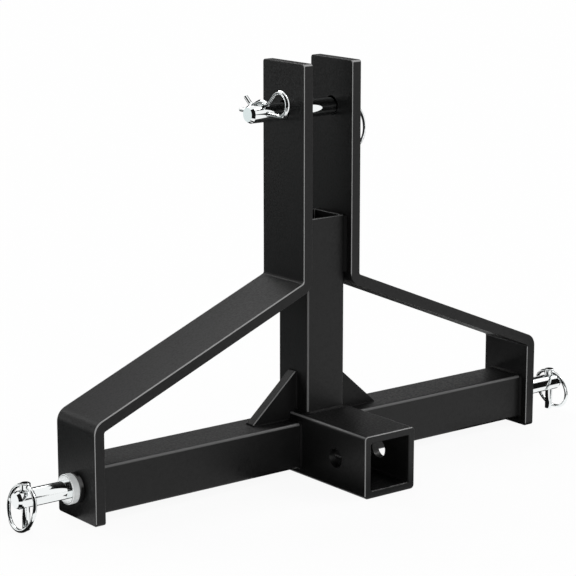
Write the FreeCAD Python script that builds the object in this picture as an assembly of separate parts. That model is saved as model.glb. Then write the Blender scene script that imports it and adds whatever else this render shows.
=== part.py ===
import FreeCAD, Part
import math
import os

# Three point receiver hitch: a welded steel A-frame that hangs on a tractor's
# three link arms and carries a square receiver tube for a drawbar or ball mount.
# Millimetres. The hitch stands on Z = 0, X runs from side to side, and the
# receiver opens towards -Y. The centre of the crossbar is over the origin.

Vec = FreeCAD.Vector

# Bent straps, one each side: leg, slope and yoke cheek in one flat bar
frame_width = 600.0
strap_depth = 70.0
strap_thickness = 12.0
strap_inside_bend = 3.0
strap_corner_radius = 3.0
strap_edge_radius = 1.2
leg_bend_height = 104.1
yoke_bend_height = 212.4
yoke_above_pin = 51.3
yoke_gap = 52.0

# Receiver tube
receiver_size = 67.0
receiver_wall = 8.0
receiver_corner = 4.0
receiver_inner_corner = 2.0
receiver_reach = 131.5
receiver_mouth_break = 0.8
hitch_hole_diameter = 20.5
hitch_hole_setback = 48.5

# Crossbar halves and mast post, both square tube
crossbar_size = 50.0
crossbar_wall = 4.0
crossbar_corner = 3.0
crossbar_inner_corner = 1.0
post_size = 50.0
post_wall = 4.0
post_corner = 3.0
post_inner_corner = 1.0
post_length = 210.0
post_rim_break = 0.5

# Gussets between the post and the crossbar
gusset_thickness = 12.0
gusset_reach = 57.7
gusset_rise = 51.5
gusset_nose = 2.0
gusset_edge_radius = 1.0

# Weld beads
frame_bead = 2.0
gusset_bead = 1.5
bead_toe = 0.4
bead_bulge = 0.12

# Lower link pins, screwed through the legs into nuts inside the crossbar
pin_diameter = 19.0
lower_pin_length = 58.0
link_seat_length = 39.0
nose_relief = 0.2
collar_diameter = 31.0
collar_thickness = 8.5
collar_edge_radius = 1.2
washer_diameter = 31.0
washer_thickness = 5.0
washer_edge_radius = 0.8
stud_diameter = 16.0
stud_hole_clearance = 0.25
stud_past_nut = 2.0
stud_end_chamfer = 1.0
nut_width = 24.0
nut_thickness = 13.0
nut_bore_clearance = 0.05
nut_chamfer_angle = 30.0
lead_in_length = 3.5
lead_in_depth = 2.0

# Linch pins through the ends of the lower link pins
linch_setback = 12.3
linch_diameter = 8.0
linch_clearance = 0.3
linch_length = 42.0
linch_tip_chamfer = 1.2
linch_head_diameter = 11.0
linch_head_height = 7.0
linch_head_edge_radius = 1.2
linch_ring_wire = 4.0
linch_ring_drop = 44.6
linch_ring_flat = 6.0
linch_ring_gap = 0.6
linch_ring_clearance = 0.4
linch_ring_tilt = 12.75

# Top link pin across the yoke, with a pull ring at its flanged end
mast_height = 356.5
yoke_hole_clearance = 1.0
top_pin_seat_gap = 0.3
top_pin_left_reach = 46.5
top_pin_right_reach = 20.5
flange_diameter = 28.0
flange_thickness = 5.0
flange_edge_radius = 0.8
pull_ring_setback = 6.5
pull_ring_radius = 23.6
pull_ring_wire = 3.5
pull_ring_rise = 1.0
pull_ring_hole_diameter = 6.4

# Hairpin cotter through the left end of the top link pin
cotter_setback = 19.0
cotter_wire = 4.5
cotter_clearance = 0.35
cotter_seat_gap = 0.3
cotter_tail = 28.0
cotter_loop_reach = 20.5
cotter_loop_radius = 12.25
cotter_neck_gap = 1.75
cotter_neck_angle = 43.5
cotter_neck_bend = 5.0
cotter_dip_gap = 6.3
cotter_dip_angle = 162.5
cotter_dip_bend = 6.0
cotter_flare_run = 11.0
cotter_flare_rise = 9.0
cotter_end_radius = 0.8

# Places that follow from the sizes
leg_outer = frame_width / 2
leg_inner = leg_outer - strap_thickness
cheek_inner = yoke_gap / 2
cheek_outer = cheek_inner + strap_thickness
axis_height = receiver_size / 2
receiver_top = receiver_size
receiver_side = receiver_size / 2
receiver_rear = strap_depth / 2
crossbar_top = axis_height + crossbar_size / 2
post_side = post_size / 2
post_top = receiver_top + post_length
pin_radius = pin_diameter / 2
collar_seat = leg_outer + washer_thickness
collar_face = collar_seat + collar_thickness
lower_pin_end = collar_face + lower_pin_length
linch_x = lower_pin_end - linch_setback
linch_seat = axis_height + pin_radius - nose_relief
linch_hinge = linch_seat + linch_head_height / 2
top_pin_height = axis_height + mast_height
yoke_height = top_pin_height + yoke_above_pin
top_pin_left = -cheek_outer - top_pin_left_reach
top_pin_right = cheek_outer + top_pin_right_reach
cotter_x = top_pin_left + cotter_setback
pull_ring_x = top_pin_right - pull_ring_setback
slope_angle = math.atan2(yoke_bend_height - leg_bend_height, leg_outer - cheek_outer)
bend_turn = math.pi / 2 - slope_angle

# Limits below which two places or directions count as the same
same_place = 1e-6
same_direction = 20.0


def unit(start, end):
    """Unit vector from one 2-D point to another."""
    length = math.hypot(end[0] - start[0], end[1] - start[1])
    return ((end[0] - start[0]) / length, (end[1] - start[1]) / length)


def along(point, direction, distance):
    """2-D point at a distance from another."""
    return (point[0] + direction[0] * distance, point[1] + direction[1] * distance)


def heading(angle):
    """2-D unit vector at an angle in radians."""
    return (math.cos(angle), math.sin(angle))


def round_corner(before, corner, after, radius):
    """Start, middle and end of the arc that rounds one corner of a 2-D outline."""
    back = unit(corner, before)
    ahead = unit(corner, after)
    half = math.acos(back[0] * ahead[0] + back[1] * ahead[1]) / 2
    reach = radius / math.tan(half)
    bisector = unit((0.0, 0.0), (back[0] + ahead[0], back[1] + ahead[1]))
    depth = radius / math.sin(half) - radius
    return along(corner, back, reach), along(corner, bisector, depth), along(corner, ahead, reach)


def outline(points, radii, place):
    """Closed wire through 2-D points, with each corner rounded by its own radius."""
    count = len(points)
    edges = []
    starts = []
    ends = []
    for i in range(count):
        if radii[i] > 0:
            following = points[(i + 1) % count]
            start, middle, end = round_corner(points[i - 1], points[i], following, radii[i])
            edges.append(Part.Arc(place(*start), place(*middle), place(*end)).toShape())
        else:
            start = points[i]
            end = points[i]
        starts.append(start)
        ends.append(end)
    for i in range(count):
        edges.append(Part.LineSegment(place(*ends[i]), place(*starts[(i + 1) % count])).toShape())
    return Part.Wire(Part.__sortEdges__(edges))


def arc_edge(centre, radius, first, last, place):
    """Arc about a 2-D centre from one angle to another, in radians."""
    points = []
    for angle in (first, (first + last) / 2, last):
        points.append(place(*along(centre, heading(angle), radius)))
    return Part.Arc(*points).toShape()


def line_edge(start, end, place):
    """Straight edge between two 2-D points."""
    return Part.LineSegment(place(*start), place(*end)).toShape()


def bent_edges(start, corner, end, radius, place):
    """Two straight runs with a bend of one radius between them."""
    first, middle, last = round_corner(start, corner, end, radius)
    arc = Part.Arc(place(*first), place(*middle), place(*last)).toShape()
    return [line_edge(start, first, place), arc, line_edge(last, end, place)]


def tangent_angle(outside, centre, radius, side):
    """Angle at which a line from an outside point touches a circle, on one of its two sides."""
    reach = math.hypot(outside[0] - centre[0], outside[1] - centre[1])
    towards = math.atan2(outside[1] - centre[1], outside[0] - centre[0])
    return towards + side * math.acos(radius / reach)


def square(size, corner, place):
    """Closed wire of a square with rounded corners, centred on the 2-D origin."""
    half = size / 2
    points = [(-half, -half), (half, -half), (half, half), (-half, half)]
    return outline(points, [corner] * 4, place)


def square_tube(size, wall, corner, inner_corner, length, place, direction):
    """Square tube that starts in the plane of place and runs along direction."""
    outer = Part.Face(square(size, corner, place)).extrude(direction * length)
    inner = Part.Face(square(size - 2 * wall, inner_corner, place)).extrude(direction * length)
    return outer.cut(inner)


def turned(profile):
    """Solid turned about the X axis from (x, radius) points."""
    points = [Vec(x, 0, radius) for x, radius in profile]
    face = Part.Face(Part.makePolygon(points + [points[0]]))
    return face.revolve(Vec(0, 0, 0), Vec(1, 0, 0), 360)


def rod(path, diameter):
    """Round wire swept along a path of tangent lines and arcs."""
    first = path.Edges[0]
    start = path.OrderedVertexes[0].Point
    at_start = first.valueAt(first.FirstParameter).distanceToPoint(start) < same_place
    parameter = first.FirstParameter if at_start else first.LastParameter
    ring = Part.Wire(Part.makeCircle(diameter / 2, start, first.tangentAt(parameter)))
    return Part.Wire(path).makePipeShell([ring], True, False)


def is_sharp(shape, edge):
    """True where the two faces at an edge meet at an angle."""
    faces = shape.ancestorsOfType(edge, Part.Face)
    if len(faces) != 2:
        return False
    point = edge.valueAt((edge.FirstParameter + edge.LastParameter) / 2)
    normals = [face.normalAt(*face.Surface.parameter(point)) for face in faces]
    return math.degrees(normals[0].getAngle(normals[1])) > same_direction


def rim_edges(shape, radius):
    """The circular edges of one radius."""
    rims = []
    for edge in shape.Edges:
        if isinstance(edge.Curve, Part.Circle) and abs(edge.Curve.Radius - radius) < same_place:
            rims.append(edge)
    return rims


def mirrored(shape):
    """The same piece on the other side of the hitch."""
    return shape.mirror(Vec(0, 0, 0), Vec(1, 0, 0))


def cross_drill(x, z, diameter, direction):
    """Long drill of one diameter through the point (x, 0, z), to cut from a piece."""
    reach = frame_width
    return Part.makeCylinder(diameter / 2, 2 * reach, Vec(x, 0, z) - direction * reach, direction)


def bent_strap():
    """Right-hand strap: a flat bar bent twice, with concentric bends and rounded edges."""
    outside_bend = strap_inside_bend + strap_thickness
    shift = strap_thickness * math.tan(bend_turn / 2)
    outer = [
        (leg_outer, 0.0),
        (leg_outer, leg_bend_height),
        (cheek_outer, yoke_bend_height),
        (cheek_outer, yoke_height),
    ]
    inner = [
        (cheek_inner, yoke_height),
        (cheek_inner, yoke_bend_height - shift),
        (leg_inner, leg_bend_height - shift),
        (leg_inner, 0.0),
    ]
    radii = [0.0, outside_bend, strap_inside_bend, 0.0, 0.0, outside_bend, strap_inside_bend, 0.0]
    wire = outline(outer + inner, radii, lambda x, z: Vec(x, -strap_depth / 2, z))
    strap = Part.Face(wire).extrude(Vec(0, strap_depth, 0))
    ends = []
    for edge in strap.Edges:
        box = edge.BoundBox
        level = box.ZLength < same_place and box.YLength < same_place
        if level and (box.ZMin < same_place or box.ZMax > yoke_height - same_place):
            ends.append(edge)
    strap = strap.makeFillet(strap_corner_radius, ends)
    rims = [edge for edge in strap.Edges if is_sharp(strap, edge)]
    strap = strap.makeFillet(strap_edge_radius, rims)
    stud_hole = stud_diameter / 2 + stud_hole_clearance
    stud_drill_start = Vec(leg_inner - strap_thickness, 0, axis_height)
    stud_drill = Part.makeCylinder(stud_hole, 3 * strap_thickness, stud_drill_start, Vec(1, 0, 0))
    yoke_hole = pin_diameter + 2 * yoke_hole_clearance
    yoke_hole_height = top_pin_height + yoke_hole_clearance - top_pin_seat_gap
    return strap.cut(stud_drill).cut(cross_drill(0, yoke_hole_height, yoke_hole, Vec(1, 0, 0)))


def crossbar_half():
    """Right-hand half of the crossbar, from the receiver's side to the leg."""
    length = leg_inner - receiver_side
    return square_tube(
        crossbar_size, crossbar_wall, crossbar_corner, crossbar_inner_corner, length,
        lambda y, z: Vec(receiver_side, y, axis_height + z), Vec(1, 0, 0),
    )


def receiver_tube():
    """Receiver tube with a broken edge at its mouth and the hitch pin's cross hole."""
    length = receiver_reach + receiver_rear
    tube = square_tube(
        receiver_size, receiver_wall, receiver_corner, receiver_inner_corner, length,
        lambda x, z: Vec(x, -receiver_reach, axis_height + z), Vec(0, 1, 0),
    )
    mouth = [edge for edge in tube.Edges if edge.BoundBox.YMax < -receiver_reach + same_place]
    tube = tube.makeChamfer(receiver_mouth_break, mouth)
    hole_start = Vec(-receiver_size, hitch_hole_setback - receiver_reach, axis_height)
    hole = Part.makeCylinder(hitch_hole_diameter / 2, 2 * receiver_size, hole_start, Vec(1, 0, 0))
    return tube.cut(hole)


def mast_post():
    """Open square tube that stands on the receiver between the yoke cheeks."""
    tube = square_tube(
        post_size, post_wall, post_corner, post_inner_corner, post_length,
        lambda x, y: Vec(x, y, receiver_top), Vec(0, 0, 1),
    )
    rim = [edge for edge in tube.Edges if edge.BoundBox.ZMin > post_top - same_place]
    return tube.makeChamfer(post_rim_break, rim)


def gusset():
    """Right-hand gusset plate, notched round the receiver's top edge."""
    toe = post_side + gusset_reach
    peak = crossbar_top + gusset_rise
    points = [
        (post_side, receiver_top),
        (receiver_side, receiver_top),
        (receiver_side, crossbar_top),
        (toe, crossbar_top),
        (toe, crossbar_top + gusset_nose),
        (post_side + gusset_nose, peak),
        (post_side, peak),
    ]
    wire = outline(points, [0.0] * len(points), lambda x, z: Vec(x, -gusset_thickness / 2, z))
    plate = Part.Face(wire).extrude(Vec(0, gusset_thickness, 0))
    slope_edges = []
    for edge in plate.Edges:
        box = edge.BoundBox
        if box.XLength > gusset_reach / 2 and box.ZLength > gusset_rise / 2:
            slope_edges.append(edge)
    return plate.makeFillet(gusset_edge_radius, slope_edges)


def tube_bead(size, corner, leg, place):
    """Fillet weld round the end of a square tube; place maps (u, v, rise) into space."""
    steps = [(0.0, leg), (leg / 2, leg * (0.5 + bead_bulge)), (leg, bead_toe)]
    sections = []
    for rise, spread in steps:
        def section_place(u, v, rise=rise):
            return place(u, v, rise)
        sections.append(square(size + 2 * spread, corner + spread, section_place))
    bead = Part.makeLoft(sections, True, True)
    core = Part.Face(square(size, corner, lambda u, v: place(u, v, -leg)))
    return bead.cut(core.extrude((place(0, 0, 1) - place(0, 0, 0)) * 3 * leg))


def corner_bead(start, end, first_side, second_side, leg):
    """Straight fillet weld in the corner between two faces, from start to end."""
    middle = leg * (0.5 + bead_bulge)
    points = [
        start,
        start + first_side * leg,
        start + first_side * middle + second_side * middle,
        start + second_side * leg,
        start,
    ]
    return Part.Face(Part.makePolygon(points)).extrude(end - start)


def leg_weld():
    """Bead between the crossbar's outer end and the right leg."""
    return tube_bead(
        crossbar_size, crossbar_corner, frame_bead,
        lambda y, z, rise: Vec(leg_inner - rise, y, axis_height + z),
    )


def receiver_weld(plate):
    """Bead between the crossbar's inner end and the receiver, interrupted by the gusset."""
    bead = tube_bead(
        crossbar_size, crossbar_corner, frame_bead,
        lambda y, z, rise: Vec(receiver_side + rise, y, axis_height + z),
    )
    return bead.cut(plate)


def post_weld(plates):
    """Bead round the foot of the post, interrupted by both gussets."""
    bead = tube_bead(
        post_size, post_corner, frame_bead,
        lambda x, y, rise: Vec(x, y, receiver_top + rise),
    )
    for plate in plates:
        bead = bead.cut(plate)
    return bead


def gusset_weld():
    """Beads on both faces of the right gusset, along the crossbar and up the post."""
    face = gusset_thickness / 2
    toe = post_side + gusset_reach
    peak = crossbar_top + gusset_rise
    beads = []
    for side in (-1, 1):
        away = Vec(0, side, 0)
        low = Vec(receiver_side + frame_bead, side * face, crossbar_top)
        far = Vec(toe, side * face, crossbar_top)
        beads.append(corner_bead(low, far, away, Vec(0, 0, 1), gusset_bead))
        foot = Vec(post_side, side * face, receiver_top + frame_bead)
        head = Vec(post_side, side * face, peak)
        beads.append(corner_bead(foot, head, Vec(1, 0, 0), away, gusset_bead))
    return Part.makeCompound(beads)


def cheek_weld():
    """Beads between the post's front and rear corners and the right cheek, filling the gap's mouth."""
    straight_from = yoke_bend_height - strap_thickness * math.tan(bend_turn / 2)
    straight_from += (strap_inside_bend + strap_thickness) * math.tan(bend_turn / 2)
    low = straight_from + strap_edge_radius
    high = post_top - 2 * post_rim_break
    gap = cheek_inner - post_side
    middle = frame_bead * (0.5 + bead_bulge)
    beads = []
    for side in (-1, 1):
        face = side * post_side
        points = [
            Vec(cheek_inner, face - side * gap, low),
            Vec(cheek_inner, face + side * frame_bead, low),
            Vec(cheek_inner - middle, face + side * middle, low),
            Vec(cheek_inner - gap - frame_bead, face, low),
            Vec(post_side, face, low),
            Vec(post_side, face - side * gap, low),
        ]
        profile = Part.Face(Part.makePolygon(points + [points[0]]))
        beads.append(profile.extrude(Vec(0, 0, high - low)))
    return Part.makeCompound(beads)


def lower_link_pin():
    """Right lower link pin, turned in one piece: threaded end, collar, link seat and relieved nose."""
    stud = stud_diameter / 2
    collar = collar_diameter / 2
    seat_end = collar_face + link_seat_length
    stud_end = leg_inner - nut_thickness - stud_past_nut
    profile = [
        (stud_end, 0.0),
        (stud_end, stud - stud_end_chamfer),
        (stud_end + stud_end_chamfer, stud),
        (collar_seat, stud),
        (collar_seat, collar),
        (collar_face, collar),
        (collar_face, pin_radius),
        (seat_end, pin_radius),
        (seat_end + nose_relief, pin_radius - nose_relief),
        (lower_pin_end - lead_in_length, pin_radius - nose_relief),
        (lower_pin_end, pin_radius - lead_in_depth),
        (lower_pin_end, 0.0),
    ]
    pin = turned(profile)
    pin = pin.makeFillet(collar_edge_radius, rim_edges(pin, collar))
    pin.translate(Vec(0, 0, axis_height))
    hole = linch_diameter + 2 * linch_clearance
    return pin.cut(cross_drill(linch_x, axis_height, hole, Vec(0, 0, 1)))


def pin_washer():
    """Right washer, clamped between the leg and the lower link pin's collar."""
    washer = Part.makeCylinder(washer_diameter / 2, washer_thickness, Vec(leg_outer, 0, 0), Vec(1, 0, 0))
    washer = washer.makeFillet(washer_edge_radius, rim_edges(washer, washer_diameter / 2))
    washer.translate(Vec(0, 0, axis_height))
    return washer.cut(cross_drill(leg_outer, axis_height, stud_diameter + 2 * stud_hole_clearance, Vec(1, 0, 0)))


def pin_nut():
    """Right hexagon nut, tacked to the leg inside the crossbar."""
    corner = nut_width / math.sqrt(3)
    start = leg_inner - nut_thickness
    points = []
    for i in range(7):
        points.append(Vec(start, *along((0.0, 0.0), heading((i + 0.5) * math.pi / 3), corner)))
    nut = Part.Face(Part.makePolygon(points)).extrude(Vec(nut_thickness, 0, 0))
    bevel = (corner - nut_width / 2) * math.tan(math.radians(nut_chamfer_angle))
    crown = turned([
        (start, 0.0),
        (start, nut_width / 2),
        (start + bevel, corner),
        (leg_inner, corner),
        (leg_inner, 0.0),
    ])
    bore_start = Vec(start - nut_thickness, 0, 0)
    bore_radius = stud_diameter / 2 + nut_bore_clearance
    bore = Part.makeCylinder(bore_radius, 3 * nut_thickness, bore_start, Vec(1, 0, 0))
    nut = nut.common(crown).cut(bore)
    nut.translate(Vec(0, 0, axis_height))
    return nut


def linch_pin():
    """Right linch pin: straight shank under a round head, cross drilled for its ring."""
    tip_height = linch_seat - linch_length
    shank = Part.makeCylinder(linch_diameter / 2, linch_length, Vec(linch_x, 0, tip_height))
    tip = [edge for edge in shank.Edges if edge.BoundBox.ZMax < tip_height + same_place]
    shank = shank.makeChamfer(linch_tip_chamfer, tip)
    head = Part.makeCylinder(linch_head_diameter / 2, linch_head_height, Vec(linch_x, 0, linch_seat))
    rims = [edge for edge in head.Edges if isinstance(edge.Curve, Part.Circle)]
    head = head.makeFillet(linch_head_edge_radius, rims)
    hole = linch_ring_wire + 2 * linch_ring_clearance
    return shank.fuse(head).removeSplitter().cut(cross_drill(linch_x, linch_hinge, hole, Vec(0, 1, 0)))


def linch_ring():
    """Right ring: its ends meet in the linch pin's head, and it leans out past the shank's tip."""
    flat = linch_ring_flat / 2
    side_radius = (linch_ring_drop - flat) / 2
    base_radius = side_radius + flat
    gap = linch_ring_gap / 2

    def place(y, drop):
        return Vec(linch_x, y, linch_hinge - drop)

    down = math.pi / 2
    path = Part.Wire([
        line_edge((gap, 0.0), (flat, 0.0), place),
        arc_edge((flat, side_radius), side_radius, -down, 0.0, place),
        arc_edge((0.0, side_radius), base_radius, 0.0, 2 * down, place),
        arc_edge((-flat, side_radius), side_radius, 2 * down, 3 * down, place),
        line_edge((-flat, 0.0), (-gap, 0.0), place),
    ])
    ring = rod(path, linch_ring_wire)
    ring.rotate(Vec(linch_x, 0, linch_hinge), Vec(0, -1, 0), linch_ring_tilt)
    return ring


def top_link_pin():
    """Top link pin with a flange against the right cheek and two cross holes."""
    flange = flange_diameter / 2
    flange_left = cheek_outer + top_pin_seat_gap
    flange_right = flange_left + flange_thickness
    profile = [
        (top_pin_left, 0.0),
        (top_pin_left, pin_radius - lead_in_depth),
        (top_pin_left + lead_in_length, pin_radius),
        (flange_left, pin_radius),
        (flange_left, flange),
        (flange_right, flange),
        (flange_right, pin_radius),
        (top_pin_right - lead_in_depth, pin_radius),
        (top_pin_right, pin_radius - lead_in_depth),
        (top_pin_right, 0.0),
    ]
    pin = turned(profile)
    pin = pin.makeFillet(flange_edge_radius, rim_edges(pin, flange))
    pin.translate(Vec(0, 0, top_pin_height))
    cotter_hole = cotter_wire + 2 * cotter_clearance
    pin = pin.cut(cross_drill(cotter_x, top_pin_height, cotter_hole, Vec(0, 1, 0)))
    return pin.cut(cross_drill(pull_ring_x, top_pin_height, pull_ring_hole_diameter, Vec(0, 1, 0)))


def top_pin_ring():
    """Round pull ring that hangs in the flanged end of the top link pin."""
    centre = Vec(pull_ring_x, 0, top_pin_height + pull_ring_rise - pull_ring_radius)
    return Part.makeTorus(pull_ring_radius, pull_ring_wire / 2, centre, Vec(1, 0, 0))


def hairpin_cotter():
    """Hairpin cotter: straight leg through the pin, open loop, and a waved leg that grips over it."""
    pin_centre = (0.0, 0.0)
    crest = pin_radius + cotter_wire / 2 + cotter_seat_gap
    loop_centre = (pin_radius + cotter_loop_reach, cotter_loop_radius)
    neck = along(pin_centre, heading(math.radians(cotter_neck_angle)), crest + cotter_neck_gap)
    dip = along(pin_centre, heading(math.radians(cotter_dip_angle)), crest + cotter_dip_gap)
    leg_end = (-pin_radius - cotter_tail, 0.0)
    flare_end = (dip[0] - cotter_flare_run, dip[1] + cotter_flare_rise)

    def place(ahead, rise):
        return Vec(cotter_x, -ahead, top_pin_height + rise)

    loop_last = tangent_angle(neck, loop_centre, cotter_loop_radius, -1) + 2 * math.pi
    loop_exit = along(loop_centre, heading(loop_last), cotter_loop_radius)
    crest_first = tangent_angle(neck, pin_centre, crest, 1)
    crest_last = tangent_angle(dip, pin_centre, crest, -1)
    crest_start = along(pin_centre, heading(crest_first), crest)
    crest_end = along(pin_centre, heading(crest_last), crest)
    edges = [line_edge(leg_end, (loop_centre[0], 0.0), place)]
    edges.append(arc_edge(loop_centre, cotter_loop_radius, -math.pi / 2, loop_last, place))
    edges += bent_edges(loop_exit, neck, crest_start, cotter_neck_bend, place)
    edges.append(arc_edge(pin_centre, crest, crest_first, crest_last, place))
    edges += bent_edges(crest_end, dip, flare_end, cotter_dip_bend, place)
    wire = rod(Part.Wire(edges), cotter_wire)
    flat_ends = [face for face in wire.Faces if isinstance(face.Surface, Part.Plane)]
    rims = [face.Edges[0] for face in flat_ends]
    return wire.makeFillet(cotter_end_radius, rims)


def save(node, shape):
    """Write one named piece, after checking that it is sound."""
    solids = shape.Solids
    if not solids or not shape.isValid() or min(solid.Volume for solid in solids) <= 0:
        raise ValueError(f"{node} is not a sound solid")
    result = solids[0] if len(solids) == 1 else Part.makeCompound(solids)
    result.exportStep(os.path.join("parts", f"{node}.step"))
    print(node, len(solids), round(shape.Volume, 1))


def main():
    os.makedirs("parts", exist_ok=True)
    right_gusset = gusset()
    left_gusset = mirrored(right_gusset)
    paired = {
        "frame_strap": bent_strap(),
        "crossbar": crossbar_half(),
        "gusset": right_gusset,
        "leg_weld": leg_weld(),
        "receiver_weld": receiver_weld(right_gusset),
        "gusset_weld": gusset_weld(),
        "cheek_weld": cheek_weld(),
        "lower_link_pin": lower_link_pin(),
        "pin_washer": pin_washer(),
        "pin_nut": pin_nut(),
        "linch_pin": linch_pin(),
        "linch_ring": linch_ring(),
    }
    for name, shape in paired.items():
        save(f"right_{name}", shape)
        save(f"left_{name}", mirrored(shape))
    save("receiver_tube", receiver_tube())
    save("mast_post", mast_post())
    save("post_weld", post_weld([right_gusset, left_gusset]))
    save("top_link_pin", top_link_pin())
    save("top_pin_ring", top_pin_ring())
    save("hairpin_cotter", hairpin_cotter())


main()
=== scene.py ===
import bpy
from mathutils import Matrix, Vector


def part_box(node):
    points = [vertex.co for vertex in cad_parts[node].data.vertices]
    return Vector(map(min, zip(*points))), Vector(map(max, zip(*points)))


bl_info = {
    "name": "Three point receiver hitch",
    "version": (1, 0, 0),
    "blender": (4, 5, 0),
    "location": "View3D > Sidebar > Hitch",
    "description": "Coats and plates a three point receiver hitch and lights it in a plain studio",
    "category": "Object",
}

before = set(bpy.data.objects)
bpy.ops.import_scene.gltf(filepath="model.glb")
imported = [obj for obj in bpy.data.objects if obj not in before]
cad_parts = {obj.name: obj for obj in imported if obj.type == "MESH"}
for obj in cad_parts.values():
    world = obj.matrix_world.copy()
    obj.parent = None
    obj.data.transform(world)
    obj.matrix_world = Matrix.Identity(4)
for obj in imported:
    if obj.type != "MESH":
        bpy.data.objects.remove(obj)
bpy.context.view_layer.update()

import math

import bpy
from mathutils import Vector

MILLIMETRE = 0.001
# The floor lies this far under the hitch, and the cards on it half as far, so that no faces fight
FLOOR_DROP = 0.1 * MILLIMETRE
# Suns shine alike from any distance, so this only keeps them apart in the viewport
LIGHT_DISTANCE = 3.0
FLAG_SIDES = 96
# The width of the camera's sensor in millimetres, and how far it sees, which is past the floor's edge
SENSOR_WIDTH = 36.0
VIEW_DEPTH = 100.0
# Most of a noise texture's values lie between these
NOISE_LOW, NOISE_HIGH = 0.3, 0.7
WHITE = (1.0, 1.0, 1.0, 1.0)

# What is powder coated, in groups whose painted edge highlights or sheen differ. All the rest is bright plated
COATED_NODES = {
    "bars": ["left_frame_strap", "right_frame_strap"],
    "plates": ["mast_post", "left_pin_washer", "right_pin_washer"],
    "gussets": ["left_gusset", "right_gusset"],
    "receiver": ["receiver_tube"],
    "crossbars": ["left_crossbar", "right_crossbar"],
    "welds": [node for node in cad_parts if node.endswith("_weld")],
}
TUBES = ("receiver", "crossbars")
PLATED_NODES = sorted(set(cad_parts).difference(*COATED_NODES.values()))


def linear(hex_colour):
    """Linear RGBA of an sRGB colour written as #rrggbb."""
    channels = []
    for i in (1, 3, 5):
        value = int(hex_colour[i:i + 2], 16) / 255
        channels.append(value / 12.92 if value <= 0.04045 else ((value + 0.055) / 1.055) ** 2.4)
    return (*channels, 1.0)


def heading(azimuth, elevation):
    """Unit vector at an azimuth from +Y towards +X and an elevation above the horizon, in radians."""
    level = math.cos(elevation)
    return Vector((math.sin(azimuth) * level, math.cos(azimuth) * level, math.sin(elevation)))


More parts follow.
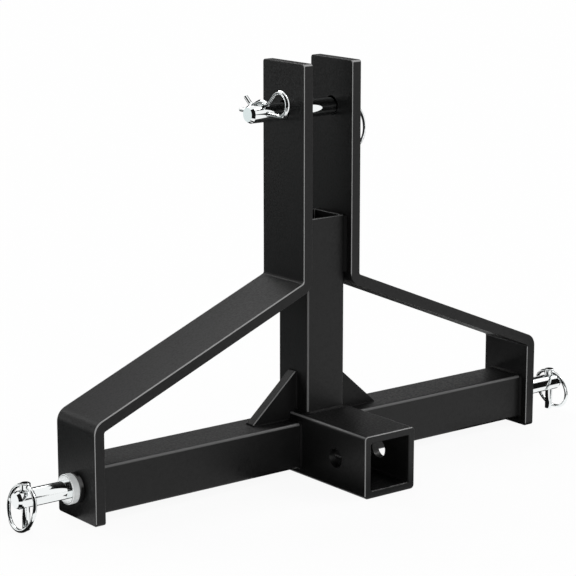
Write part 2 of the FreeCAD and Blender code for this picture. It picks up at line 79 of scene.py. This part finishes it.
class HitchStageSettings(bpy.types.PropertyGroup):
    """Camera, floor and light of the studio."""

    camera_azimuth: bpy.props.FloatProperty(
        name="Camera azimuth", description="Turn of the view from straight along +Y",
        default=math.radians(37.887), subtype="ANGLE")
    camera_drop: bpy.props.FloatProperty(
        name="Camera drop", description="How far the view looks down",
        default=math.radians(12.63), subtype="ANGLE")
    camera_distance: bpy.props.FloatProperty(
        name="Camera distance", description="From the camera to the point that it looks at",
        default=2.2994, unit="LENGTH")
    camera_target: bpy.props.FloatVectorProperty(
        name="Camera target", description="The point at the middle of the picture",
        default=(-0.03178, 0.0, 0.20087), subtype="TRANSLATION")
    camera_lens: bpy.props.FloatProperty(
        name="Focal length", description="Of a lens in front of a 36 mm sensor",
        default=135.81, unit="CAMERA")
    floor_size: bpy.props.FloatProperty(
        name="Floor size", description="Side of the square floor", default=60.0, unit="LENGTH")
    floor_colour: bpy.props.FloatVectorProperty(
        name="Floor colour", description="Pale matt paper", size=4, subtype="COLOR",
        default=linear("#fdfdfd"))
    back_light: bpy.props.FloatVectorProperty(
        name="Back light",
        description="Azimuth from +Y towards +X, elevation and width of the soft light behind",
        size=3, subtype="EULER",
        default=(math.radians(24.0), math.radians(38.0), math.radians(40.0)))
    back_strength: bpy.props.FloatProperty(
        name="Back strength", description="Light from it on a surface that faces it", default=0.88)
    rim_light: bpy.props.FloatVectorProperty(
        name="Rim light",
        description="Azimuth, elevation and width of the light that draws the long top edges",
        size=3, subtype="EULER",
        default=(math.radians(-14.0), math.radians(36.0), math.radians(12.0)))
    rim_strength: bpy.props.FloatProperty(
        name="Rim strength", description="Light from it on a surface that faces it", default=0.35)
    right_light: bpy.props.FloatVectorProperty(
        name="Right light",
        description="Azimuth, elevation and width of the light on the front's right",
        size=3, subtype="EULER",
        default=(math.radians(112.0), math.radians(48.0), math.radians(14.0)))
    right_strength: bpy.props.FloatProperty(
        name="Right strength", description="Light from it on a surface that faces it", default=0.5)
    left_light: bpy.props.FloatVectorProperty(
        name="Left light",
        description="Azimuth, elevation and width of the low light on the front's left",
        size=3, subtype="EULER",
        default=(math.radians(190.0), math.radians(8.0), math.radians(12.0)))
    left_strength: bpy.props.FloatProperty(
        name="Left strength", description="Light from it on a surface that faces it", default=0.55)
    fill_strength: bpy.props.FloatProperty(
        name="Fill strength", description="Even light from all round", default=0.55)
    paper_glow: bpy.props.FloatProperty(
        name="Paper glow",
        description="Share of pure white in the floor as it is seen, which thins the shadow on it",
        default=0.93, min=0.0, max=1.0, subtype="FACTOR")
    card_black: bpy.props.FloatVectorProperty(
        name="Black card", description="Colour of the black cards and flags", size=4,
        subtype="COLOR", default=linear("#141414"))
    card_grey: bpy.props.FloatVectorProperty(
        name="Grey card", description="Colour of the grey card on the floor's left", size=4,
        subtype="COLOR", default=linear("#585c5c"))
    card_mid: bpy.props.FloatVectorProperty(
        name="Middle card", size=4, subtype="COLOR",
        description="Colour of the cards that the lower post and the foot of the mouth reflect",
        default=linear("#8c9090"))
    card_pale: bpy.props.FloatVectorProperty(
        name="Pale card", size=4, subtype="COLOR",
        description="Colour of the pale card that the top link pin's end reflects",
        default=linear("#e4ecec"))
    card_place: bpy.props.FloatVectorProperty(
        name="Card place", description="Middle of the upright card in front of the right lower link pin",
        default=(0.47, -0.12, 0.07), subtype="TRANSLATION")
    card_size: bpy.props.FloatVectorProperty(
        name="Card size", description="Width and height of that card", size=2, default=(0.16, 0.14),
        unit="LENGTH")
    flag_distance: bpy.props.FloatProperty(
        name="Flag distance", description="From the hitch to the curved black flags round it",
        default=1.6, unit="LENGTH")
    back_flag_azimuth: bpy.props.FloatProperty(
        name="Back flag azimuth", description="Middle of the flag behind the hitch, from +Y towards +X",
        default=math.radians(23.0), subtype="ANGLE")
    back_flag_width: bpy.props.FloatProperty(
        name="Back flag width", description="Angle that the flag behind the hitch fills",
        default=math.radians(114.0), subtype="ANGLE")
    back_flag_foot: bpy.props.FloatProperty(
        name="Back flag foot", description="Gap under the flag behind the hitch",
        default=0.3, unit="LENGTH")
    back_flag_height: bpy.props.FloatProperty(
        name="Back flag height", description="Height of the flag behind the hitch",
        default=1.2, unit="LENGTH")
    front_flag_azimuth: bpy.props.FloatProperty(
        name="Front flag azimuth",
        description="Middle of the flag on the camera's side, from +Y towards +X",
        default=math.radians(230.0), subtype="ANGLE")
    front_flag_width: bpy.props.FloatProperty(
        name="Front flag width", description="Angle that the flag on the camera's side fills",
        default=math.radians(140.0), subtype="ANGLE")
    front_flag_foot: bpy.props.FloatProperty(
        name="Front flag foot", description="Gap under the flag on the camera's side",
        default=0.0, unit="LENGTH")
    front_flag_height: bpy.props.FloatProperty(
        name="Front flag height", description="Height of the flag on the camera's side",
        default=4.4, unit="LENGTH")


class HitchCoatSettings(bpy.types.PropertyGroup):
    """Satin black powder coat of the welded frame and the washers."""

    colour: bpy.props.FloatVectorProperty(
        name="Coat colour", description="Colour of the powder coat", size=4, subtype="COLOR",
        default=linear("#131313"))
    roughness: bpy.props.FloatProperty(
        name="Coat roughness", description="Satin, between gloss and matt",
        default=0.4, min=0.0, max=1.0, subtype="FACTOR")
    sheen: bpy.props.FloatProperty(
        name="Coat sheen", description="Specular level of the coat",
        default=0.25, min=0.0, max=1.0, subtype="FACTOR")
    gusset_sheen: bpy.props.FloatProperty(
        name="Gusset sheen", description="Specular level of the coat on the gussets, duller in the photograph",
        default=0.15, min=0.0, max=1.0, subtype="FACTOR")
    weld_sheen: bpy.props.FloatProperty(
        name="Weld sheen", description="Specular level of the coat on the weld beads, rougher under it",
        default=0.06, min=0.0, max=1.0, subtype="FACTOR")
    # Colours of the painted highlight, a pale line in the base colour along edges, one colour per coated group
    bars_painted_highlight_colour: bpy.props.FloatVectorProperty(
        name="Bars' edge colour",
        description="Where the coat is thin over the edge of a flat bar",
        size=4, subtype="COLOR", default=linear("#9c9c9c"))
    plates_painted_highlight_colour: bpy.props.FloatVectorProperty(
        name="Plates' edge colour", description="The same on the post and the washers",
        size=4, subtype="COLOR", default=linear("#646464"))
    gussets_painted_highlight_colour: bpy.props.FloatVectorProperty(
        name="Gussets' edge colour", description="The same on the gussets",
        size=4, subtype="COLOR", default=linear("#7c7c7c"))
    receiver_painted_highlight_colour: bpy.props.FloatVectorProperty(
        name="Receiver's edge colour", description="The same on the corners of the receiver",
        size=4, subtype="COLOR", default=linear("#8c8c8c"))
    crossbars_painted_highlight_colour: bpy.props.FloatVectorProperty(
        name="Crossbars' edge colour", description="The same on the wide corners of the crossbar",
        size=4, subtype="COLOR", default=linear("#5c5c5c"))
    # The way along which edges get a painted highlight, and its opposite: its level part, then its upright
    # part
    highlight_facing_level: bpy.props.FloatVectorProperty(
        name="Thin level",
        description="Level part of the way that thin edges face, and its opposite, as photographed",
        default=(0.52, 0.66, 0.0), subtype="DIRECTION")
    highlight_facing_rise: bpy.props.FloatVectorProperty(
        name="Thin rise", description="Upright part of that way",
        default=(0.0, 0.0, 0.54), subtype="DIRECTION")
    # How squarely an edge must face that way for its painted highlight to begin and to be full, on flat bars
    # and on tubes
    bar_highlight_facing: bpy.props.FloatVectorProperty(
        name="Bar edge", size=2, default=(0.76, 0.82),
        description="How squarely a bar's edge faces that way where it begins to thin, and is thin")
    tube_highlight_facing: bpy.props.FloatVectorProperty(
        name="Tube edge", size=2, default=(0.69, 0.8),
        description="How squarely a tube's corner faces that way where it begins to thin, and is thin")
    # No painted highlight is laid round these holes, nor inside the receiver below its outer faces
    pin_hole: bpy.props.FloatVectorProperty(
        name="Pin hole",
        description="Middle of the receiver's hole for the hitch pin, whose rim stays dark",
        default=(0.0, -0.083, 0.0335), subtype="TRANSLATION")
    yoke_hole: bpy.props.FloatVectorProperty(
        name="Yoke hole",
        description="Middle of the yoke's holes for the top link pin, whose rims stay dark",
        default=(0.0, 0.0, 0.39), subtype="TRANSLATION")
    hole_margin: bpy.props.FloatProperty(
        name="Hole margin", description="Radius round those holes without thin edges",
        default=14.0 * MILLIMETRE, unit="LENGTH")
    wall_margin: bpy.props.FloatProperty(
        name="Wall margin", description="Depth under the receiver's outer faces where its thin edges end",
        default=4.0 * MILLIMETRE, unit="LENGTH")
    # Real dimples are this wide but only some hundredths of a millimetre deep, which wouldn't show in
    # the render, so they are drawn deeper
    peel_size: bpy.props.FloatProperty(
        name="Peel size", description="Width of one dimple of the orange peel",
        default=2.4 * MILLIMETRE, unit="LENGTH")
    peel_depth: bpy.props.FloatProperty(
        name="Peel depth", description="Depth of one dimple", default=0.25 * MILLIMETRE, unit="LENGTH")
    peel_strength: bpy.props.FloatProperty(
        name="Peel strength", description="Share of that depth that shows",
        default=0.4, min=0.0, max=1.0, subtype="FACTOR")
    peel_gloss: bpy.props.FloatProperty(
        name="Peel gloss",
        description="How far the roughness strays between the dimples and their rims",
        default=0.12, min=0.0, max=1.0, subtype="FACTOR")


class HitchPlateSettings(bpy.types.PropertyGroup):
    """Bright plating of the pins, rings and cotter."""

    colour: bpy.props.FloatVectorProperty(
        name="Plate colour", description="Colour of the bright plating", size=4, subtype="COLOR",
        default=linear("#f3f6f6"))
    roughness: bpy.props.FloatProperty(
        name="Plate roughness", description="A polished surface with fine wear",
        default=0.03, min=0.0, max=1.0, subtype="FACTOR")
    # Real wear on plating is scratches too fine to show in the render, so it is drawn as wide patches
    wear_size: bpy.props.FloatProperty(
        name="Wear size", description="Width of one patch that handling has dulled",
        default=4.54545 * MILLIMETRE, unit="LENGTH")
    wear_gloss: bpy.props.FloatProperty(
        name="Wear gloss", description="How far the roughness strays between those patches",
        default=0.02, min=0.0, max=1.0, subtype="FACTOR")
    link_axis: bpy.props.FloatVectorProperty(
        name="Link axis", description="A point on the axis of the lower link pins",
        default=(0.0, 0.0, 0.0335), subtype="TRANSLATION")
    face_radius: bpy.props.FloatProperty(
        name="Face radius", description="Where a collar's face begins, from that axis",
        default=9.6 * MILLIMETRE, unit="LENGTH")
    rim_radius: bpy.props.FloatProperty(
        name="Rim radius", description="Where a collar's matt rim begins, from that axis",
        default=14.7 * MILLIMETRE, unit="LENGTH")
    rim_metal: bpy.props.FloatProperty(
        name="Rim metal", description="Share of metal in the matt rim, the rest of which is pale oxide",
        default=0.2, min=0.0, max=1.0, subtype="FACTOR")
    rim_roughness: bpy.props.FloatProperty(
        name="Rim roughness", description="Added to the face's roughness on the matt rim",
        default=0.4, min=0.0, max=1.0, subtype="FACTOR")
    face_roughness: bpy.props.FloatProperty(
        name="Face roughness", description="Added to the plate's roughness on a collar, which is turned",
        default=0.16, min=0.0, max=1.0, subtype="FACTOR")


class HitchSettings(bpy.types.PropertyGroup):
    """All the sizes and colours of the hitch's finish."""

    stage: bpy.props.PointerProperty(type=HitchStageSettings)
    coat: bpy.props.PointerProperty(type=HitchCoatSettings)
    plate: bpy.props.PointerProperty(type=HitchPlateSettings)


def add_node(tree, kind, settings, inputs):
    """Adds a node, gives it its settings, and sets or links each of its inputs."""
    node = tree.nodes.new(kind)
    for name, value in settings.items():
        setattr(node, name, value)
    for name, value in inputs.items():
        if isinstance(value, bpy.types.NodeSocket):
            tree.links.new(value, node.inputs[name])
        else:
            node.inputs[name].default_value = value
    return node


def new_material(name):
    """A material with an empty node tree and its output."""
    material = bpy.data.materials.new(name)
    material.use_nodes = True
    material.node_tree.nodes.clear()
    return material, material.node_tree


def paint(node, material):
    """Gives a CAD node one material all over."""
    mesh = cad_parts[node].data
    for i in range(len(mesh.materials)):
        mesh.materials[i] = material
    if not mesh.materials:
        mesh.materials.append(material)


def off_axis(tree, place, centre):
    """Distance from a line along X through a point."""
    from_centre = add_node(tree, "ShaderNodeVectorMath", {"operation": "SUBTRACT"}, {
        0: place.outputs["Object"], 1: centre})
    beside = add_node(tree, "ShaderNodeVectorMath", {"operation": "MULTIPLY"}, {
        0: from_centre.outputs["Vector"], 1: (0.0, 1.0, 1.0)})
    away = add_node(tree, "ShaderNodeVectorMath", {"operation": "LENGTH"}, {0: beside.outputs["Vector"]})
    return away.outputs["Value"]


def painted_edge_highlight(tree, place, settings, least, most):
    """Painted highlight: one on edges that face the highlit way, nought on flat faces, in the receiver and
    round the holes.
    """
    surface = add_node(tree, "ShaderNodeNewGeometry", {}, {})
    level = add_node(tree, "ShaderNodeVectorMath", {"operation": "DOT_PRODUCT"}, {
        0: surface.outputs["Normal"], 1: settings.highlight_facing_level})
    either = add_node(tree, "ShaderNodeMath", {"operation": "ABSOLUTE"}, {0: level.outputs["Value"]})
    rise = add_node(tree, "ShaderNodeVectorMath", {"operation": "DOT_PRODUCT"}, {
        0: surface.outputs["Normal"], 1: settings.highlight_facing_rise})
    facing = add_node(tree, "ShaderNodeMath", {"operation": "ADD"}, {
        0: either.outputs[0], 1: rise.outputs["Value"]})
    side = add_node(tree, "ShaderNodeMapRange", {}, {
        "Value": facing.outputs[0], "From Min": least, "From Max": most})
    low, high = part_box("receiver_tube")
    middle = (low + high) / 2
    from_axis = add_node(tree, "ShaderNodeVectorMath", {"operation": "SUBTRACT"}, {
        0: place.outputs["Object"], 1: middle})
    across = add_node(tree, "ShaderNodeVectorMath", {"operation": "ABSOLUTE"}, {
        0: from_axis.outputs["Vector"]})
    part = add_node(tree, "ShaderNodeSeparateXYZ", {}, {"Vector": across.outputs["Vector"]})
    widest = add_node(tree, "ShaderNodeMath", {"operation": "MAXIMUM"}, {
        0: part.outputs["X"], 1: part.outputs["Z"]})
    outside = add_node(tree, "ShaderNodeMath", {"operation": "GREATER_THAN"}, {
        0: widest.outputs[0], 1: (high.x - low.x) / 2 - settings.wall_margin})
    off_pin_hole = add_node(tree, "ShaderNodeMath", {"operation": "GREATER_THAN"}, {
        0: off_axis(tree, place, settings.pin_hole), 1: settings.hole_margin})
    off_yoke_hole = add_node(tree, "ShaderNodeMath", {"operation": "GREATER_THAN"}, {
        0: off_axis(tree, place, settings.yoke_hole), 1: settings.hole_margin})
    # The painted highlight, cut away inside the receiver and round the holes
    highlight_share = side.outputs["Result"]
    for kept in (outside, off_pin_hole, off_yoke_hole):
        product = add_node(tree, "ShaderNodeMath", {"operation": "MULTIPLY"}, {
            0: highlight_share, 1: kept.outputs[0]})
        highlight_share = product.outputs[0]
    return highlight_share


def powder_coat(settings, under):
    """Polyester powder, sprayed dry and baked on.

    It flows into faint dimples, so light on it is broad and grainy. Edges that face one way and its opposite,
    and upward, get a painted highlight: a pale line in the base colour.
    Weld beads are rougher under it and shine less, and so do the gussets.
    """
    material, tree = new_material(f"satin_black_powder_coat_on_{under}")
    place = add_node(tree, "ShaderNodeTexCoord", {}, {})
    peel = add_node(tree, "ShaderNodeTexNoise", {}, {
        "Vector": place.outputs["Object"], "Scale": 1.0 / settings.peel_size,
        "Detail": 2.0, "Roughness": 0.55})
    gloss = add_node(tree, "ShaderNodeMapRange", {}, {
        "Value": peel.outputs["Fac"], "From Min": NOISE_LOW, "From Max": NOISE_HIGH,
        "To Min": settings.roughness - settings.peel_gloss,
        "To Max": settings.roughness + settings.peel_gloss})
    bump = add_node(tree, "ShaderNodeBump", {}, {
        "Height": peel.outputs["Fac"], "Strength": settings.peel_strength,
        "Distance": settings.peel_depth})
    rough_sheens = {"welds": settings.weld_sheen, "gussets": settings.gusset_sheen}
    shader = add_node(tree, "ShaderNodeBsdfPrincipled", {}, {
        "Base Color": settings.colour, "Roughness": gloss.outputs["Result"],
        "Normal": bump.outputs["Normal"], "IOR": 1.5,
        "Specular IOR Level": rough_sheens.get(under, settings.sheen)})
    # Edges get a painted highlight, a paler base colour, except on the weld beads
    if under != "welds":
        least, most = settings.tube_highlight_facing if under in TUBES else settings.bar_highlight_facing
        # A Mix node's colours are its inputs 6 and 7 and its output 2
        colour = add_node(tree, "ShaderNodeMix", {"data_type": "RGBA"}, {
            "Factor": painted_edge_highlight(tree, place, settings, least, most),
            6: settings.colour, 7: getattr(settings, f"{under}_painted_highlight_colour")})
        tree.links.new(colour.outputs[2], shader.inputs["Base Color"])
    add_node(tree, "ShaderNodeOutputMaterial", {}, {"Surface": shader.outputs["BSDF"]})
    return material


def bright_plating(settings, collared):
    """Drawn steel, plated bright.

    It is a near mirror, dulled a little by handling. A collar is turned, which softens what its face
    mirrors, and its rim is tumbled to an even grey.
    """
    name = "bright_plated_steel_with_matt_collar" if collared else "bright_plated_steel"
    material, tree = new_material(name)
    place = add_node(tree, "ShaderNodeTexCoord", {}, {})
    wear = add_node(tree, "ShaderNodeTexNoise", {}, {
        "Vector": place.outputs["Object"], "Scale": 1.0 / settings.wear_size,
        "Detail": 4.0, "Roughness": 0.6})
    gloss = add_node(tree, "ShaderNodeMapRange", {}, {
        "Value": wear.outputs["Fac"], "From Min": NOISE_LOW, "From Max": NOISE_HIGH,
        "To Min": settings.roughness - settings.wear_gloss,
        "To Max": settings.roughness + settings.wear_gloss})
    shader = add_node(tree, "ShaderNodeBsdfPrincipled", {}, {
        "Base Color": settings.colour, "Metallic": 1.0, "Roughness": gloss.outputs["Result"]})
    if collared:
        away = off_axis(tree, place, settings.link_axis)
        rim = add_node(tree, "ShaderNodeMath", {"operation": "GREATER_THAN"}, {
            0: away, 1: settings.rim_radius})
        metal = add_node(tree, "ShaderNodeMapRange", {}, {
            "Value": rim.outputs[0], "To Min": 1.0, "To Max": settings.rim_metal})
        tree.links.new(metal.outputs["Result"], shader.inputs["Metallic"])
        face = add_node(tree, "ShaderNodeMath", {"operation": "GREATER_THAN"}, {
            0: away, 1: settings.face_radius})
        dulled = add_node(tree, "ShaderNodeMath", {"operation": "MULTIPLY_ADD"}, {
            0: face.outputs[0], 1: settings.face_roughness, 2: gloss.outputs["Result"]})
        matted = add_node(tree, "ShaderNodeMath", {"operation": "MULTIPLY_ADD"}, {
            0: rim.outputs[0], 1: settings.rim_roughness, 2: dulled.outputs[0]})
        tree.links.new(matted.outputs[0], shader.inputs["Roughness"])
    add_node(tree, "ShaderNodeOutputMaterial", {}, {"Surface": shader.outputs["BSDF"]})
    return material


def seen_ray(tree):
    """One where the camera, a mirror or glass looks, and nought for light that falls on a surface."""
    path = add_node(tree, "ShaderNodeLightPath", {}, {})
    mirrored = add_node(tree, "ShaderNodeMath", {"operation": "MAXIMUM"}, {
        0: path.outputs["Is Camera Ray"], 1: path.outputs["Is Glossy Ray"]})
    seen = add_node(tree, "ShaderNodeMath", {"operation": "MAXIMUM"}, {
        0: mirrored.outputs[0], 1: path.outputs["Is Transmission Ray"]})
    return seen.outputs[0]


def floor_paper(settings):
    """Background paper, calendered matt: white to the eye, with the hitch's faint shadow on it."""
    material, tree = new_material("matt_floor_paper")
    paper = add_node(tree, "ShaderNodeBsdfDiffuse", {}, {"Color": settings.floor_colour})
    white = add_node(tree, "ShaderNodeEmission", {}, {"Color": WHITE, "Strength": 1.0})
    share = add_node(tree, "ShaderNodeMath", {"operation": "MULTIPLY"}, {
        0: seen_ray(tree), 1: settings.paper_glow})
    shader = add_node(tree, "ShaderNodeMixShader", {}, {
        0: share.outputs[0], 1: paper.outputs["BSDF"], 2: white.outputs["Emission"]})
    add_node(tree, "ShaderNodeOutputMaterial", {}, {"Surface": shader.outputs["Shader"]})
    return material


def floor_cards(settings):
    """Cards that lie on the floor and show in reflections only: the colour and two corners of each."""
    black, reach = settings.card_black, settings.flag_distance
    return {
        # The right slope's underside, the foot of the right leg's inner side, a line under the top pin
        "back_mat": (black, (-0.1, 0.16), (reach, reach)),
        # A line under each lower link pin, the foot of the left leg's outer side
        "near_mat": (black, (-0.345, 0.005), (0.5, 0.09)),
        # Small dark marks on the left collar, on the top link pin and on its cotter
        "left_mat": (black, (-reach, -reach), (-0.35, -0.25)),
        # The left linch pin and its ring
        "ring_mat": (black, (-0.6, -0.04), (-0.35, 0.045)),
        # The foot of the black band on the right lower link pin
        "right_mat": (black, (0.36, -0.12), (0.5, -0.05)),
        # Small dark marks on all three pins
        "front_mat": (black, (-0.35, -reach), (-0.1, -0.35)),
        # The right linch pin and its ring, the foot of the right crossbar and leg
        "link_mat": (black, (0.2, -0.04), (0.35, 0.005)),
        # The low part of the receiver's left side and of the crossbar beside it
        "receiver_mat": (black, (-0.09, -0.135), (-0.034, 0.005)),
        # The foot of the receiver's mouth
        "mouth_mat": (settings.card_mid, (-0.034, -0.19), (0.07, -0.136)),
        # The top link pin's end
        "pale_mat": (settings.card_pale, (-2.4, 2.0), (-1.3, 2.8)),
        # The left sides of both cheeks, of the left leg and of the upper post, grey lines on the cotter
        "grey_mat": (settings.card_grey, (-2.4, 0.14), (-0.345, 2.0)),
        # The left side of the lower post, between the grey card and the black one
        "mast_mat": (settings.card_mid, (-0.345, 0.16), (-0.1, 2.0)),
    }


class HITCH_OT_stage(bpy.types.Operator):
    """Lay the floor, set the lights and aim the camera"""

    bl_idname = "hitch.stage"
    bl_label = "Set the stage"

    def execute(self, context):
        settings = context.scene.hitch.stage
        self.lay_floor(settings)
        self.set_lights(context, settings)
        self.stand_flag(settings, "back_flag")
        self.stand_flag(settings, "front_flag")
        for name, (colour, low, high) in floor_cards(settings).items():
            self.lay_mat(name, colour, low, high)
        self.stand_card(settings)
        self.aim_camera(context, settings)
        context.scene.view_settings.view_transform = "Standard"
        return {"FINISHED"}

    def lay_floor(self, settings):
        """A wide paper floor, which also fills the background."""
        bpy.ops.object.select_all(action="DESELECT")
        bpy.ops.mesh.primitive_plane_add(
            size=settings.floor_size, location=(0.0, 0.0, -FLOOR_DROP))
        floor = bpy.context.object
        floor.name = "studio_floor"
        floor.data.materials.append(floor_paper(settings))

    def set_lights(self, context, settings):
        """Four broad lights and an even room, which mirrors and the camera see as white."""
        for name in ("back", "rim", "right", "left"):
            azimuth, elevation, width = getattr(settings, f"{name}_light")
            towards = heading(azimuth, elevation)
            bpy.ops.object.light_add(type="SUN", location=towards * LIGHT_DISTANCE)
            light = bpy.context.object
            light.name = f"{name}_light"
            light.data.energy = getattr(settings, f"{name}_strength")
            light.data.angle = width
            light.rotation_mode = "QUATERNION"
            light.rotation_quaternion = (-towards).to_track_quat("-Z", "Y")
        world = bpy.data.worlds.new("studio_room")
        context.scene.world = world
        world.use_nodes = True
        tree = world.node_tree
        tree.nodes.clear()
        level = add_node(tree, "ShaderNodeMapRange", {}, {
            "Value": seen_ray(tree), "To Min": settings.fill_strength, "To Max": 1.0})
        room = add_node(tree, "ShaderNodeBackground", {}, {
            "Color": WHITE, "Strength": level.outputs["Result"]})
        add_node(tree, "ShaderNodeOutputWorld", {}, {"Surface": room.outputs["Background"]})

    def stand_flag(self, settings, name):
        """A curved black card that shows only in reflections, and gives bright metal its dark bands."""
        azimuth, width, foot, height = (
            getattr(settings, f"{name}_{measure}")
            for measure in ("azimuth", "width", "foot", "height"))
        bpy.ops.object.select_all(action="DESELECT")
        bpy.ops.mesh.primitive_cylinder_add(
            vertices=FLAG_SIDES, radius=settings.flag_distance, depth=height,
            end_fill_type="NOTHING", location=(0.0, 0.0, foot + height / 2))
        flag = bpy.context.object
        flag.name = name
        bpy.ops.object.mode_set(mode="EDIT")
        bpy.ops.mesh.select_mode(type="FACE")
        bpy.ops.mesh.select_all(action="DESELECT")
        bpy.ops.object.mode_set(mode="OBJECT")
        for face in flag.data.polygons:
            away = math.atan2(face.center.x, face.center.y) - azimuth
            turn = abs((away + math.pi) % (2 * math.pi) - math.pi)
            face.select = turn > width / 2
        bpy.ops.object.mode_set(mode="EDIT")
        bpy.ops.mesh.delete(type="FACE")
        bpy.ops.object.mode_set(mode="OBJECT")
        self.hide_card(flag, settings.card_black)

    def stand_card(self, settings):
        """A small upright black card, which draws the black band along the right lower link pin."""
        bpy.ops.object.select_all(action="DESELECT")
        bpy.ops.mesh.primitive_plane_add(
            size=1.0, location=settings.card_place, rotation=(math.radians(90.0), 0.0, 0.0))
        card = bpy.context.object
        card.name = "right_card"
        card.scale = (settings.card_size[0], settings.card_size[1], 1.0)
        self.hide_card(card, settings.card_black)

    def lay_mat(self, name, colour, low, high):
        """A flat card on the floor, between two corners, for the lower half of the reflections."""
        bpy.ops.object.select_all(action="DESELECT")
        bpy.ops.mesh.primitive_plane_add(
            size=1.0,
            location=((low[0] + high[0]) / 2, (low[1] + high[1]) / 2, -FLOOR_DROP / 2))
        mat = bpy.context.object
        mat.name = name
        mat.scale = (high[0] - low[0], high[1] - low[1], 1.0)
        self.hide_card(mat, colour)

    def hide_card(self, card, colour):
        """Gives a card an even colour, and shows it in reflections only."""
        material, tree = new_material(card.name)
        shader = add_node(tree, "ShaderNodeEmission", {}, {"Color": colour, "Strength": 1.0})
        add_node(tree, "ShaderNodeOutputMaterial", {}, {"Surface": shader.outputs["Emission"]})
        card.data.materials.append(material)
        card.visible_camera = False
        card.visible_diffuse = False
        card.visible_shadow = False

    def aim_camera(self, context, settings):
        """The photograph's view."""
        ahead = heading(settings.camera_azimuth, -settings.camera_drop)
        bpy.ops.object.camera_add(
            location=Vector(settings.camera_target) - ahead * settings.camera_distance)
        camera = bpy.context.object
        camera.name = "photo_camera"
        camera.rotation_mode = "QUATERNION"
        camera.rotation_quaternion = ahead.to_track_quat("-Z", "Y")
        camera.data.sensor_width = SENSOR_WIDTH
        camera.data.lens = settings.camera_lens
        camera.data.clip_end = VIEW_DEPTH
        context.scene.camera = camera


class HITCH_OT_frame_coating(bpy.types.Operator):
    """Powder coat the welded frame and the washers"""

    bl_idname = "hitch.frame_coating"
    bl_label = "Coat the frame"

    def execute(self, context):
        for under, names in COATED_NODES.items():
            material = powder_coat(context.scene.hitch.coat, under)
            for node in names:
                paint(node, material)
        return {"FINISHED"}


class HITCH_OT_plating(bpy.types.Operator):
    """Plate the pins, nuts, rings and the hairpin cotter"""

    bl_idname = "hitch.plating"
    bl_label = "Plate the hardware"

    def execute(self, context):
        plain = bright_plating(context.scene.hitch.plate, False)
        collared = bright_plating(context.scene.hitch.plate, True)
        for node in PLATED_NODES:
            paint(node, collared if node.endswith("_lower_link_pin") else plain)
        return {"FINISHED"}


class HITCH_PT_panel(bpy.types.Panel):
    """The hitch's finish, step by step"""

    bl_idname = "HITCH_PT_panel"
    bl_label = "Receiver hitch"
    bl_space_type = "VIEW_3D"
    bl_region_type = "UI"
    bl_category = "Hitch"

    def draw(self, context):
        settings = context.scene.hitch
        for group, operator in (
            (settings.coat, HITCH_OT_frame_coating),
            (settings.plate, HITCH_OT_plating),
            (settings.stage, HITCH_OT_stage),
        ):
            box = self.layout.box()
            for name in group.bl_rna.properties.keys():
                if name not in {"rna_type", "name"}:
                    box.prop(group, name)
            box.operator(operator.bl_idname)


CLASSES = (
    HitchStageSettings,
    HitchCoatSettings,
    HitchPlateSettings,
    HitchSettings,
    HITCH_OT_stage,
    HITCH_OT_frame_coating,
    HITCH_OT_plating,
    HITCH_PT_panel,
)


def register():
    for item in CLASSES:
        bpy.utils.register_class(item)
    bpy.types.Scene.hitch = bpy.props.PointerProperty(type=HitchSettings)


def unregister():
    del bpy.types.Scene.hitch
    for item in reversed(CLASSES):
        bpy.utils.unregister_class(item)


def main():
    register()
    bpy.ops.hitch.frame_coating()
    bpy.ops.hitch.plating()
    bpy.ops.hitch.stage()


if __name__ == "__main__":
    main()
